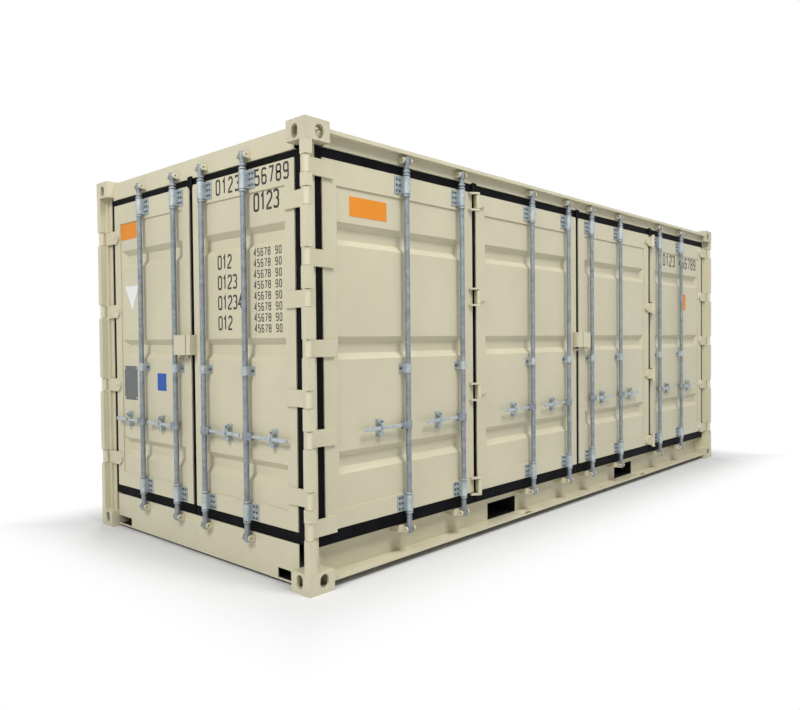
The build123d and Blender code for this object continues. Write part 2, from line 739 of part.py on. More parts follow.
def leaf_body(leaf):
    """The welded leaf: a box frame, a pressed panel with three ribs, and its hinge parts."""
    frame = block(leaf.left, leaf.right, LEAF_FACE, LEAF_FACE + LEAF_THICKNESS, LEAF_BOTTOM, LEAF_TOP)
    x0 = leaf.left + leaf.stile
    x1 = leaf.right - leaf.stile
    z0 = LEAF_BOTTOM + FOOT_HEIGHT
    z1 = LEAF_TOP - HEAD_HEIGHT
    frame -= block(x0, x1, LEAF_FACE - 1, LEAF_FACE + LEAF_THICKNESS + 1, z0, z1)
    mouth = PANEL_FACE
    panel = block(x0, x1, mouth, mouth + PANEL_SHEET, z0, z1)
    rib_back = mouth + RIB_DEPTH + PANEL_SHEET
    for low, high in leaf.ribs:
        panel += tray(x0 + 1, x1 - 1, low - PANEL_SHEET, high + PANEL_SHEET, mouth + 1, rib_back, RIB_SLOPE)
    for low, high in leaf.ribs:
        panel -= tray(x0 + RIB_MARGIN, x1 - RIB_MARGIN, low, high, mouth, mouth + RIB_DEPTH, RIB_SLOPE)
    body = frame + panel
    if leaf.box:
        body += lock_box_half(leaf)
    for z in leaf.hinges:
        body += fold_strap(z) if leaf.hangs_on_leaf else post_strap(leaf, z)
    if leaf.carries_leaf:
        for z in FOLD_HINGES:
            body += fold_lug(z)
    return body


def lock_box_half(leaf):
    """Half of the cover over the padlock, open below and toward the middle gap."""
    z0, z1 = leaf.box
    gap = leaf.right + LEAF_GAP / 2
    x0 = gap - leaf.box_reach
    x1 = gap - SEAL_CLEARANCE
    cover = block(x0, x1, BOX_FRONT, LEAF_FACE, z0, z1)
    room = (BOX_FRONT + BOX_PLATE, LEAF_FACE + 1, z0 - 1, z1 - BOX_PLATE)
    return cover - block(x0 + BOX_PLATE, x1 + 1, *room)


def post_strap(leaf, z):
    """A hinge blade: knuckle on the post pin and a flat strap welded to the leaf."""
    low = z - HINGE_HEIGHT / 2
    high = z + HINGE_HEIGHT / 2
    tip = STRAP_TAPER if leaf.tapered else 0
    outline = [
        (PIN_INSET, low),
        (STRAP_REACH - tip, low),
        (STRAP_REACH, low + tip),
        (STRAP_REACH, high - tip),
        (STRAP_REACH - tip, high),
        (PIN_INSET, high),
    ]
    if not leaf.tapered:
        outline = [(PIN_INSET, low), (STRAP_REACH, low), (STRAP_REACH, high), (PIN_INSET, high)]
    blade = facing(section(outline), LEAF_FACE - STRAP_THICKNESS, LEAF_FACE)
    knuckle = vertical_rod(PIN_INSET, PIN_INSET, KNUCKLE_RADIUS, low, high)
    bore = vertical_rod(PIN_INSET, PIN_INSET, PIN_RADIUS + PIN_CLEARANCE, low - 1, high + 1)
    return blade + knuckle - bore


def fold_strap(z):
    """The moving half of a fold hinge: a knuckle on the pin and a tapered strap."""
    low = z - HINGE_HEIGHT / 2
    high = z + HINGE_HEIGHT / 2
    start = FOLD_GAP + LEAF_GAP / 2
    tip = FOLD_GAP + FOLD_STRAP_REACH
    outline = [
        (FOLD_GAP, low),
        (start, low),
        (tip, low + STRAP_TAPER),
        (tip, high - STRAP_TAPER),
        (start, high),
        (FOLD_GAP, high),
    ]
    blade = facing(section(outline), LEAF_FACE - STRAP_THICKNESS, LEAF_FACE)
    web = block(FOLD_GAP, FOLD_GAP + FOLD_KNUCKLE_RADIUS, FOLD_AXIS_DEPTH, LEAF_FACE, low, high)
    knuckle = vertical_rod(FOLD_GAP, FOLD_AXIS_DEPTH, FOLD_KNUCKLE_RADIUS, low, high)
    bore = vertical_rod(FOLD_GAP, FOLD_AXIS_DEPTH, PIN_RADIUS + PIN_CLEARANCE, low - 1, high + 1)
    return blade + web + knuckle - bore


def fold_lug(z):
    """The fixed half of a fold hinge: two level plates on the outer leaf and their pin."""
    low = z - HINGE_HEIGHT / 2 - HINGE_GAP
    high = z + HINGE_HEIGHT / 2 + HINGE_GAP
    edge = FOLD_GAP - LEAF_GAP / 2
    outline = section([
        (FOLD_GAP - FOLD_LUG_REACH, LEAF_FACE),
        (FOLD_GAP - FOLD_LUG_REACH, LEAF_FACE - STRAP_THICKNESS),
        (FOLD_GAP - FOLD_LUG_NOSE, FOLD_AXIS_DEPTH - FOLD_KNUCKLE_RADIUS),
        (FOLD_GAP, FOLD_AXIS_DEPTH - FOLD_KNUCKLE_RADIUS),
        (FOLD_GAP, FOLD_AXIS_DEPTH + FOLD_KNUCKLE_RADIUS),
        (edge, LEAF_FACE),
    ])
    outline += Pos(FOLD_GAP, FOLD_AXIS_DEPTH) * Circle(FOLD_KNUCKLE_RADIUS)
    upper = extrude(Plane.XY.offset(high) * outline, amount=FOLD_LUG_THICKNESS)
    lower = extrude(Plane.XY.offset(low) * outline, amount=-FOLD_LUG_THICKNESS)
    return upper + lower + vertical_rod(FOLD_GAP, FOLD_AXIS_DEPTH, PIN_RADIUS, low, high)


def leaf_seal(leaf):
    """The rubber seal round the edge of a leaf."""
    bottom = SIDE_OPENING_BOTTOM if leaf.wall == "side" else END_OPENING_BOTTOM
    top = SIDE_OPENING_TOP if leaf.wall == "side" else END_OPENING_TOP
    z0 = bottom + SEAL_CLEARANCE
    z1 = top - SEAL_CLEARANCE
    step = SEAL_STEP
    lip = block(leaf.seal_left, leaf.seal_right, SEAL_FRONT, SEAL_FRONT + SEAL_LIP, z0, z1)
    bulb = block(leaf.seal_left + step, leaf.seal_right - step, SEAL_FRONT, SEAL_BACK, z0 + step, z1 - step)
    hollow = block(leaf.left, leaf.right, SEAL_FRONT - 1, SEAL_BACK + 1, LEAF_BOTTOM, LEAF_TOP)
    return lip + bulb - hollow


def bar_places(leaf):
    """The lock bars of a leaf, measured from the gap that its free edge closes on."""
    gap = leaf.right + LEAF_GAP / 2
    return [gap - distance for distance in leaf.bars]


def handle_height(leaf):
    return SIDE_HANDLE_HEIGHT if leaf.wall == "side" else END_HANDLE_HEIGHT


def foot_side(leaf):
    """The side of the bar that the bracket feet lie on, in the leaf's own drawing."""
    outward = -1 if leaf.wall == "side" else 1
    return -outward if leaf.mirrored else outward


def bar_bracket(x, z0, z1, reach, seat):
    """A saddle round the bar, with a flat foot bolted to the leaf at its seat."""
    foot = block(x, x + reach, seat - BRACKET_PLATE, seat, z0, z1)
    saddle = block(x - SADDLE_RADIUS, x + SADDLE_RADIUS, BAR_DEPTH, seat, z0, z1)
    saddle += vertical_rod(x, BAR_DEPTH, SADDLE_RADIUS, z0, z1)
    return saddle + foot - vertical_rod(x, BAR_DEPTH, BAR_RADIUS + BAR_CLEARANCE, z0 - 1, z1 + 1)


def handle_catch(x, z):
    """The catch behind a handle: two round lobes, one above it and one below."""
    front = BAR_DEPTH + HANDLE_THICKNESS / 2 + CATCH_CLEARANCE
    half = CATCH_WIDTH / 2
    reach = CATCH_LOBE_OFFSET + CATCH_LOBE_RADIUS
    catch = block(x - half, x + half, PANEL_FACE - BRACKET_PLATE, PANEL_FACE, z - reach, z + reach)
    for level in (z - CATCH_LOBE_OFFSET, z + CATCH_LOBE_OFFSET):
        catch += depth_pin(x, level, CATCH_LOBE_RADIUS, front, PANEL_FACE)
    return catch


def lock_gear(leaf):
    """The brackets, guides and handle catches that are bolted to one leaf."""
    side = foot_side(leaf)
    pieces = []
    for x in bar_places(leaf):
        for low, high in (TOP_BRACKET, LOW_BRACKET):
            pieces.append(bar_bracket(x, low, high, side * BRACKET_FOOT, LEAF_FACE))
        pieces.append(bar_bracket(x, *MID_GUIDE, side * GUIDE_FOOT, PANEL_FACE))
        pieces.append(handle_catch(x - CATCH_FROM_BAR, handle_height(leaf)))
    return Compound(children=[place(piece, leaf) for piece in pieces])


def cam_heights(leaf):
    if leaf.wall == "side":
        return SIDE_CAM_BOTTOM, SIDE_CAM_TOP
    return END_CAM_BOTTOM, END_CAM_TOP


def lock_bar(leaf, x):
    """A lock bar with a cam at each end, two collars and the fork that holds its handle."""
    low, high = cam_heights(leaf)
    z = handle_height(leaf)
    half = CAM_HEIGHT / 2
    bar = vertical_rod(x, BAR_DEPTH, BAR_RADIUS, low - half, high + half)
    for level in (low, high):
        bar += cam(x, level)
    bar += vertical_rod(x, BAR_DEPTH, COLLAR_RADIUS, TOP_BRACKET[0] - COLLAR_HEIGHT - 2, TOP_BRACKET[0] - 2)
    bar += vertical_rod(x, BAR_DEPTH, COLLAR_RADIUS, LOW_BRACKET[1] + 2, LOW_BRACKET[1] + 2 + COLLAR_HEIGHT)
    return bar + handle_fork(x, z)


def cam(x, z):
    """A forged cam: a round hub with a nose that turns between the ears of its keeper."""
    half = CAM_HEIGHT / 2
    hub = vertical_rod(x, BAR_DEPTH, CAM_RADIUS, z - half, z + half)
    outline = Pos(x, BAR_DEPTH) * Rot(0, 0, CAM_ANGLE) * SlotCenterToCenter(CAM_NOSE / 2, CAM_NOSE)
    nose = extrude(Plane.XY.offset(z - half / 2) * outline, amount=half)
    return hub + (nose & vertical_rod(x, BAR_DEPTH, CAM_NOSE, z - half, z + half))


def handle_fork(x, z):
    """The fork on the bar: a collar round it and two cheeks that carry the handle pin."""
    half = HUB_HEIGHT / 2
    near = HANDLE_THICKNESS / 2 + HUB_CLEARANCE
    far = near + HUB_CHEEK
    fork = vertical_rod(x, BAR_DEPTH, SADDLE_RADIUS, z - half, z + half)
    root = x - SADDLE_RADIUS / 2
    for start, end in ((-far, -near), (near, far)):
        fork += block(x - HUB_REACH, root, BAR_DEPTH + start, BAR_DEPTH + end, z - half, z + half)
    head = far + 2
    return fork + depth_pin(x - HANDLE_PIVOT, z, HANDLE_PIN_RADIUS, BAR_DEPTH - head, BAR_DEPTH + head)


def lock_handle(leaf, x):
    """A forged handle on its pin in the fork: a round eye, a narrow neck and a wider tip."""
    z = handle_height(leaf)
    pivot = x - HANDLE_PIVOT
    tip = x - HANDLE_TIP + HANDLE_TIP_HEIGHT / 2
    upper = [
        (pivot, HANDLE_END_RADIUS),
        (pivot - HANDLE_NECK_START, HANDLE_NECK / 2),
        (pivot - HANDLE_NECK_END, HANDLE_NECK / 2),
        (tip + HANDLE_PALM, HANDLE_TIP_HEIGHT / 2),
        (tip, HANDLE_TIP_HEIGHT / 2),
    ]
    outline = section([(a, z + b) for a, b in upper] + [(a, z - b) for a, b in upper[::-1]])
    outline += Pos(pivot, z) * Circle(HANDLE_END_RADIUS)
    outline += Pos(tip, z) * Circle(HANDLE_TIP_HEIGHT / 2)
    half = HANDLE_THICKNESS / 2
    bar = facing(outline, BAR_DEPTH - half, BAR_DEPTH + half)
    faces = bar.faces().sort_by(Axis.Y)
    bar = fillet(faces[0].edges() + faces[-1].edges(), HANDLE_EDGE)
    bore = (BAR_DEPTH - half - 1, BAR_DEPTH + half + 1)
    return bar - depth_pin(pivot, z, HANDLE_PIN_RADIUS + PIN_CLEARANCE, *bore)


def keeper_ear(x0, x1, z):
    """One round-nosed ear of a keeper, with a hole through it."""
    plate = block(x0, x1, BAR_DEPTH, RAIL_FACE, z - EAR_RADIUS, z + EAR_RADIUS)
    plate += cross_pin(BAR_DEPTH, z, EAR_RADIUS, x0, x1)
    return plate - cross_pin(BAR_DEPTH, z, EAR_HOLE, x0 - 1, x1 + 1)


def cam_keepers(leaves):
    """Two ears at each end of each bar, on a block where the rail stands back."""
    near = CAM_NOSE + EAR_GAP
    far = near + EAR_THICKNESS
    pieces = []
    for leaf in leaves:
        for x in bar_places(leaf):
            for z in cam_heights(leaf):
                pieces.append(place(keeper_ear(x - far, x - near, z), leaf))
                pieces.append(place(keeper_ear(x + near, x + far, z), leaf))
            if leaf.wall == "side":
                pieces.append(place(keeper_block(x, foot_side(leaf), far), leaf))
    return Compound(children=pieces)


def keeper_block(x, side, half):
    """The block that brings a lower keeper out from the recessed web of the side rail."""
    top = SIDE_OPENING_BOTTOM - 1
    low = SIDE_CAM_BOTTOM - EAR_RADIUS
    x0, x1 = x + side * KEEPER_REACH, x - side * half
    body = block(x0, x1, RAIL_FACE, RAIL_WEB_DEPTH, low, top)
    room = (UPPER_FLANGE_EDGE, RAIL_WEB_DEPTH + 1, UPPER_FLANGE_UNDERSIDE, top + 1)
    return body - block(x0 + side, x1 - side, *room)


def column_section():
    """The plan of a hinge column: a square bar and the weld land that ties it to the post."""
    start = PIN_INSET - COLUMN_WIDTH / 2
    end = start + COLUMN_WIDTH
    land = POST_FACE + COLUMN_WELD
    return [
        (start, start),
        (end, start),
        (end, POST_FACE - COLUMN_LAND),
        (land, POST_FACE - COLUMN_LAND),
        (land, POST_FACE),
        (POST_FACE, POST_FACE),
        (POST_FACE, land),
        (POST_FACE - COLUMN_LAND, land),
        (POST_FACE - COLUMN_LAND, end),
        (start, end),
    ]


def hinge_column(heights):
    """A column of fixed lugs from casting to casting, broken by a pin at each hinge."""
    reach = HINGE_HEIGHT / 2 + HINGE_GAP
    edges = [CASTING_HEIGHT]
    for z in sorted(heights):
        edges += [z - reach, z + reach]
    edges.append(CASTING_BOTTOM)
    column = vertical_rod(PIN_INSET, PIN_INSET, PIN_RADIUS, edges[1], edges[-2])
    for low, high in zip(edges[::2], edges[1::2]):
        column += extrude(Plane.XY.offset(low) * section(column_section()), amount=high - low)
    return SIDE_WALL * column


def hinge_columns():
    near = hinge_column(SIDE_HINGES + END_HINGES)
    far_side = mirror(hinge_column(SIDE_HINGES), about=Plane.YZ)
    far_end = mirror(hinge_column(END_HINGES), about=Plane.XZ)
    return Compound(children=[near, far_side, far_end])


def door_leaves():
    """The six leaves: four on the long side, folding in pairs, and two on the end."""
    half_gap = LEAF_GAP / 2
    side_gap = LENGTH / 2
    end_gap = WIDTH / 2
    outer = dict(wall="side", left=LEAF_START, right=FOLD_GAP - half_gap, seal_left=SEAL_HINGE_EDGE)
    outer.update(seal_right=FOLD_GAP - SEAL_CLEARANCE, stile=SIDE_STILE, ribs=SIDE_RIBS)
    outer.update(hinges=SIDE_HINGES, bars=OUTER_BARS, carries_leaf=True)
    inner = dict(wall="side", left=FOLD_GAP + half_gap, right=side_gap - half_gap)
    inner.update(seal_left=FOLD_GAP + SEAL_CLEARANCE, seal_right=side_gap - SEAL_CLEARANCE)
    inner.update(stile=SIDE_STILE, ribs=SIDE_RIBS, hinges=FOLD_HINGES, bars=INNER_BARS)
    inner.update(hangs_on_leaf=True, box=SIDE_BOX)
    end = dict(wall="end", left=LEAF_START, right=end_gap - half_gap, seal_left=SEAL_HINGE_EDGE)
    end.update(seal_right=end_gap - SEAL_CLEARANCE, stile=END_STILE, ribs=END_RIBS)
    end.update(hinges=END_HINGES, bars=END_BARS, box=END_BOX)
    return [
        Leaf(name="side_leaf_1", mirrored=False, **outer),
        Leaf(name="side_leaf_2", mirrored=False, box_reach=SIDE_BOX_LEFT, **inner),
        Leaf(name="side_leaf_3", mirrored=True, box_reach=SIDE_BOX_RIGHT, **inner),
        Leaf(name="side_leaf_4", mirrored=True, tapered=True, **outer),
        Leaf(name="end_leaf_left", mirrored=False, tapered=True, box_reach=END_BOX_LEFT, **end),
        Leaf(name="end_leaf_right", mirrored=True, box_reach=END_BOX_RIGHT, **end),
    ]


def save(shape, name):
    """Write one sub-part under its node name."""
    export_step(shape, f"parts/{name}.step")


leaves = door_leaves()
save(corner_castings(), "corner_castings")
save(corner_posts(), "corner_posts")
save(top_side_rails(), "top_side_rails")
save(bottom_side_rails(), "bottom_side_rails")
save(side_rain_lip(), "side_rain_lip")
save(side_door_stops(), "side_door_stops")
save(door_header(), "door_header")
save(door_sill(), "door_sill")
save(blind_end_rails(), "blind_end_rails")
save(cross_members(), "cross_members")
save(forklift_pockets(), "forklift_pockets")
save(plywood_floor(), "plywood_floor")
save(roof_panel(), "roof_panel")
save(back_wall(), "back_wall")
save(blind_end_wall(), "blind_end_wall")
save(hinge_columns(), "hinge_columns")
save(cam_keepers(leaves), "cam_keepers")
for leaf in leaves:
    save(place(leaf_body(leaf), leaf), leaf.name)
    save(place(leaf_seal(leaf), leaf), f"{leaf.name}_seal")
    save(lock_gear(leaf), f"{leaf.name}_lock_gear")
    for number, x in enumerate(sorted(bar_places(leaf), reverse=leaf.mirrored), start=1):
        save(place(lock_bar(leaf, x), leaf), f"{leaf.name}_bar_{number}")
        save(place(lock_handle(leaf, x), leaf), f"{leaf.name}_handle_{number}")
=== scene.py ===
import bpy
import numpy as np
from mathutils import Matrix, Vector


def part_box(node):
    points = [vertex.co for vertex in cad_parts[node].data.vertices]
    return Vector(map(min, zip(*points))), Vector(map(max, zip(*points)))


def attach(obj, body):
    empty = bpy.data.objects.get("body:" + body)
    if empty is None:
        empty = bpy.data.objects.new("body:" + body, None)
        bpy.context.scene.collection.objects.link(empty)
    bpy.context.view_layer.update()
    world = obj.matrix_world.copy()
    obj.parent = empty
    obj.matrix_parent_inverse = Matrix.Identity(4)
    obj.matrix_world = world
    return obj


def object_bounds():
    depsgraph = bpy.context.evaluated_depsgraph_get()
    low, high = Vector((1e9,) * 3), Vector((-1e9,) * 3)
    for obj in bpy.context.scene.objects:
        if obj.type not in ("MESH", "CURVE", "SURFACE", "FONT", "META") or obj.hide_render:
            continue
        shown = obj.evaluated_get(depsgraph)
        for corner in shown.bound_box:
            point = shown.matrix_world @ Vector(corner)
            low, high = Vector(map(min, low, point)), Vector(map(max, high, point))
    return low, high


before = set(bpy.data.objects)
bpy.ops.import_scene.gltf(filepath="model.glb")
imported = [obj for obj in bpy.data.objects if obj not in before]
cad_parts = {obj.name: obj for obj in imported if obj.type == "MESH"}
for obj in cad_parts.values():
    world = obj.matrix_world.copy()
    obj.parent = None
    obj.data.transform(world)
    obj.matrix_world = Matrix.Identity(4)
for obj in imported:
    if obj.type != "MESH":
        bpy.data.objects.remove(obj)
cad_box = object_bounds()

# The welded steel box: posts, rails, walls and roof.
# Pressed and folded plate, continuously welded, shot-blasted and sprayed with
# two coats of cream chassis paint, so it has a soft gloss and a faint ripple.

CREAM = (0.600, 0.556, 0.398, 1)
CREAM_DUSTY = (0.565, 0.522, 0.374, 1)
CREAM_ROUGHNESS = 0.34


def new_material(name):
    """A material with nodes, its tree and its shader."""
    material = bpy.data.materials.new(name)
    material.use_nodes = True
    return material, material.node_tree, material.node_tree.nodes["Principled BSDF"]


def set_inputs(tree, node, inputs):
    """Gives each named or numbered input of a node its value, or a link where that is an output."""
    for socket, value in inputs.items():
        if isinstance(value, bpy.types.NodeSocket):
            tree.links.new(value, node.inputs[socket])
        else:
            node.inputs[socket].default_value = value


def add_node(tree, kind, output, inputs, **settings):
    """Adds a shader node with its settings and inputs, and returns the output that is asked for."""
    node = tree.nodes.new("ShaderNode" + kind)
    for name, value in settings.items():
        setattr(node, name, value)
    set_inputs(tree, node, inputs)
    return node.outputs[output]


def painted_steel(name, light, dusty, roughness, grain=420, strength=0.10, depth=0.0006):
    """Paint over plate: slow noise mixes the clean and dusty colour and dulls the coat, and a slow ripple
    and a fine grain bump it."""
    paint, tree, shader = new_material(name)
    place = add_node(tree, "TexCoord", "Object", {})
    cloud = add_node(tree, "TexNoise", "Fac",
                     {"Vector": place, "Scale": 1.7, "Detail": 5, "Roughness": 0.62})
    spread = add_node(tree, "MapRange", "Result", {"Value": cloud, "From Min": 0.35, "From Max": 0.68})
    tint = add_node(tree, "Mix", "Result", {"Factor": spread, "A": light, "B": dusty}, data_type="RGBA")
    dull = add_node(tree, "MapRange", "Result",
                    {"Value": cloud, "To Min": roughness, "To Max": roughness + 0.14})
    ripple = add_node(tree, "TexNoise", "Fac", {"Vector": place, "Scale": 3.2, "Detail": 1})
    swell = add_node(tree, "Bump", "Normal", {"Height": ripple, "Strength": 0.18, "Distance": 0.012})
    peel = add_node(tree, "TexNoise", "Fac", {"Vector": place, "Scale": grain, "Detail": 2})
    coat = add_node(tree, "Bump", "Normal",
                    {"Height": peel, "Strength": strength, "Distance": depth, "Normal": swell})
    set_inputs(tree, shader, {"Base Color": tint, "Roughness": dull, "Normal": coat})
    return paint


def finish_node(name, finish):
    """Puts one finish in every material slot of a node."""
    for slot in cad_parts[name].material_slots:
        slot.material = finish


cream_paint = painted_steel("cream_paint", CREAM, CREAM_DUSTY, CREAM_ROUGHNESS)
for name in ("corner_posts", "top_side_rails", "side_rain_lip", "side_door_stops",
             "door_header", "blind_end_rails", "roof_panel", "back_wall", "blind_end_wall",
             "hinge_columns", "cam_keepers"):
    finish_node(name, cream_paint)

# The tongues beside the pocket mouths: the cut-out of the foot rail is bent over its flange.
# Flame-cut 4 mm plate, painted with the rail and a little lifted at its middle.

UP = np.array((0.0, 0.0, 1.0))
near, far = (np.array(corner) for corner in cad_box)
SIDE = (np.array((near[0], near[1], 0)), np.array((1.0, 0.0, 0.0)), np.array((0.0, -1.0, 0.0)))
SIDE_LENGTH = far[0] - near[0]
POCKET_REACH = 1.025
TONGUE_START = 0.110
TONGUE_END = 0.255
TONGUE_DEPTH = 0.052
TONGUE_WIDTH = 0.056
TONGUE_THICKNESS = 0.004
TONGUE_LIFT = 0.013
TONGUE_STEPS = 13
FLANGE_TOP = 0.054


def on_face(face, along, depth, height):
    """Points of a door face, given as its left corner on the ground, its way right and its way out:
    corner + along x right - depth x out + height x up, with the depth counted from the castings."""
    corner, right, out = face
    along, depth, height = (part[..., None] for part in np.broadcast_arrays(along, depth, height))
    return corner + along * right - depth * out + height * UP


def carry(path, out, profile):
    """A profile carried along a path: ring i holds path i + across x mitre i + above x out for every
    (across, above) of the profile, and mitre i bisects the corner there, so the band keeps its width."""
    step = np.diff(path, axis=0)
    step /= np.linalg.norm(step, axis=1, keepdims=True)
    side = np.cross(out, step)
    before = np.vstack((side[:1], side))
    after = np.vstack((side, side[-1:]))
    mitre = (before + after) / (1 + np.sum(before * after, axis=1, keepdims=True))
    return (path[:, None] + profile[:, :1] * mitre[:, None] + profile[:, 1:] * out)[None]


def bar_section(above, across):
    """The four corners of a flat bar, above wide along the way out and across wide square to it."""
    return np.array(((-1, -1), (1, -1), (1, 1), (-1, 1))) * (across / 2, above / 2)


def add_object(name, data):
    """An object of the data, put in the scene."""
    thing = bpy.data.objects.new(name, data)
    bpy.context.scene.collection.objects.link(thing)
    return thing


def add_piece(name, shells, finish, body):
    """One mesh of closed shells: quads join neighbouring rings of points, and flat faces close the ends."""
    points, faces, start = [], [], 0
    for rings in shells:
        number = start + np.arange(rings[..., 0].size).reshape(rings.shape[:3])
        turned = np.roll(number, -1, axis=2)
        walls = np.stack((number[:, :-1], turned[:, :-1], turned[:, 1:], number[:, 1:]), axis=-1)
        faces += walls.reshape(-1, 4).tolist() + number[:, 0, ::-1].tolist() + number[:, -1].tolist()
        points.append(rings.reshape(-1, 3))
        start += len(points[-1])
    mesh = bpy.data.meshes.new(name)
    mesh.from_pydata(np.concatenate(points).tolist(), [], faces)
    mesh.shade_smooth()
    mesh.set_sharp_from_angle(angle=0.6)
    mesh.materials.append(finish)
    piece = add_object(name, mesh)
    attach(piece, body)


tongue_section = bar_section(TONGUE_WIDTH, TONGUE_THICKNESS)
tongues = []
share = np.linspace(0, 1, TONGUE_STEPS)
for middle in SIDE_LENGTH / 2 + np.array((-POCKET_REACH, POCKET_REACH)):
    along = middle + TONGUE_START + share * (TONGUE_END - TONGUE_START)
    height = FLANGE_TOP + TONGUE_THICKNESS / 2 + TONGUE_LIFT * np.sin(np.pi * share) ** 2
    tongues.append(carry(on_face(SIDE, along, TONGUE_DEPTH, height), SIDE[2], tongue_section))
add_piece("pocket_tongues", tongues, cream_paint, "frame")

# The underframe: cross members and fork tunnels under the floor.
# Rolled steel, sprayed with black underbody wax; that black is also painted shade for the tunnels,
# so the openings of the foot rail read dark, and the sill and foot rail carry painted shade behind their
# skins.

WAX_AND_SHADE_BLACK = (0.0080, 0.0078, 0.0075, 1)
WAX_DUSTY = (0.0160, 0.0150, 0.0135, 1)
WAX_ROUGHNESS = 0.60
SHADE_HALF_REACH = 0.25
SILL_SKIN = 0.062
RAIL_SKIN = 0.147


def arithmetic(tree, operation, *values):
    """One step of arithmetic in a material."""
    return add_node(tree, "Math", "Value", dict(enumerate(values)), operation=operation)


def painted_shade_inside(name, axis, start):
    """Cream paint with painted shade, black behind the skin: from start to half a metre further on an axis.
    """
    paint = painted_steel(name, CREAM, CREAM_DUSTY, CREAM_ROUGHNESS)
    tree = paint.node_tree
    shader = tree.nodes["Principled BSDF"]
    tint = shader.inputs["Base Color"].links[0].from_socket
    place = add_node(tree, "SeparateXYZ", axis, {"Vector": add_node(tree, "TexCoord", "Object", {})})
    inside = arithmetic(tree, "COMPARE", place, start + SHADE_HALF_REACH, SHADE_HALF_REACH)
    shaded_tint = add_node(tree, "Mix", "Result", {"Factor": inside, "A": tint, "B": WAX_AND_SHADE_BLACK}, data_type="RGBA")
    set_inputs(tree, shader, {"Base Color": shaded_tint})
    return paint


# Painted shade in part: the black is real undercoat, and it is also chosen so that the shaded fork tunnels
# read dark.
underbody_wax_and_shade = painted_steel("underbody_wax_and_shade", WAX_AND_SHADE_BLACK, WAX_DUSTY, WAX_ROUGHNESS)
underbody_wax_and_shade.node_tree.nodes["Principled BSDF"].inputs["Specular IOR Level"].default_value = 0.15
finish_node("cross_members", underbody_wax_and_shade)
finish_node("forklift_pockets", underbody_wax_and_shade)
# Painted shade: the sill behind its skin and the foot rail behind its web are coloured black, so the notches
# and pocket mouths read dark.
finish_node("door_sill", painted_shade_inside("sill_paint_and_shade", "X", near[0] + SILL_SKIN))
finish_node("bottom_side_rails", painted_shade_inside("foot_rail_paint_and_shade", "Y", near[1] + RAIL_SKIN))

# The corner castings: eight hollow steel castings welded to the posts and rails.
# Sand-cast and painted with the box, so their skin is rougher than the plate.

CASTING_DUSTY = (0.500, 0.462, 0.335, 1)
casting_paint = painted_steel("casting_paint", CREAM, CASTING_DUSTY, 0.52,
                              grain=240, strength=0.45, depth=0.0012)
finish_node("corner_castings", casting_paint)

# The welds at the castings: one run where every post and the top rail meet them.
# Laid by hand and painted over, 8 mm wide with a ripple about every 18 mm.

END = (np.array((near[0], far[1], 0)), np.array((0.0, -1.0, 0.0)), np.array((-1.0, 0.0, 0.0)))
END_LENGTH = far[1] - near[1]
POST_INNER = 0.112
POST_DEPTH = 0.062
RAIL_DEPTH = 0.056
RAIL_WELD_TOP = 0.040
CASTING_LENGTH = 0.178
CASTING_HEIGHT = 0.118


def weld_bead(path, out, radius=0.004, pitch=0.007):
    """A bead along a path: six-sided rings every pitch, of radius x (1 + 0.14 cos 2.4 i) for ring i."""
    run = np.append(0, np.cumsum(np.linalg.norm(np.diff(path, axis=0), axis=1)))
    place = np.linspace(0, run[-1], max(3, int(run[-1] / pitch)))
    line = np.column_stack([np.interp(place, run, path[:, axis]) for axis in range(3)])
    angle = np.arange(6) * np.pi / 3
    rings = carry(line, out, radius * np.column_stack((np.cos(angle), np.sin(angle))))
    ripple = 1 + 0.14 * np.cos(np.arange(len(place)) * 2.4)
    return line[:, None] + (rings - line[:, None]) * ripple[:, None, None]


post_width = np.array((POST_DEPTH, POST_INNER))
casting_runs = []
for face, length in ((SIDE, SIDE_LENGTH), (END, END_LENGTH)):
    for height in (CASTING_HEIGHT, far[2] - CASTING_HEIGHT):
        for along in (post_width, length - post_width):
            casting_runs.append(weld_bead(on_face(face, along, POST_DEPTH, height), face[2]))
rail_heights = far[2] - np.array((CASTING_HEIGHT, RAIL_WELD_TOP))
for along in (CASTING_LENGTH, SIDE_LENGTH - CASTING_LENGTH):
    casting_runs.append(weld_bead(on_face(SIDE, along, RAIL_DEPTH, rail_heights), SIDE[2]))
add_piece("casting_welds", casting_runs, cream_paint, "frame")

# The plywood floor: boards about 28 mm thick, screwed down onto the cross members.
# Film-free hardwood plywood, oiled brown, with fine grain along the length.

GRAIN_DARK = (0.115, 0.055, 0.026, 1)
GRAIN_LIGHT = (0.300, 0.165, 0.080, 1)
GRAIN_STRETCH = (2.0, 46.0, 46.0)


def colour_ramp(tree, value, *stops):
    """Turns a value into a colour between two stops, each a position and its colour."""
    tint = add_node(tree, "ValToRGB", "Color", {"Fac": value})
    for element, (position, colour) in zip(tint.node.color_ramp.elements, stops):
        element.position = position
        element.color = colour
    return tint


floor_board, wood, wood_shader = new_material("floor_board")
wood_place = add_node(wood, "TexCoord", "Object", {})
wood_place = add_node(wood, "Mapping", "Vector", {"Vector": wood_place, "Scale": GRAIN_STRETCH})
grain = add_node(wood, "TexNoise", "Fac", {"Vector": wood_place, "Scale": 1.4, "Detail": 6})
grain_tint = colour_ramp(wood, grain, (0.30, GRAIN_DARK), (0.72, GRAIN_LIGHT))
grain_bump = add_node(wood, "Bump", "Normal", {"Height": grain, "Strength": 0.25, "Distance": 0.0008})
set_inputs(wood, wood_shader, {"Base Color": grain_tint, "Roughness": 0.68, "Normal": grain_bump})
finish_node("plywood_floor", floor_board)

# The six door leaves: pressed panel sheets welded into box frames.
# Painted with the box; their hinge straps and half lock boxes are part of them.

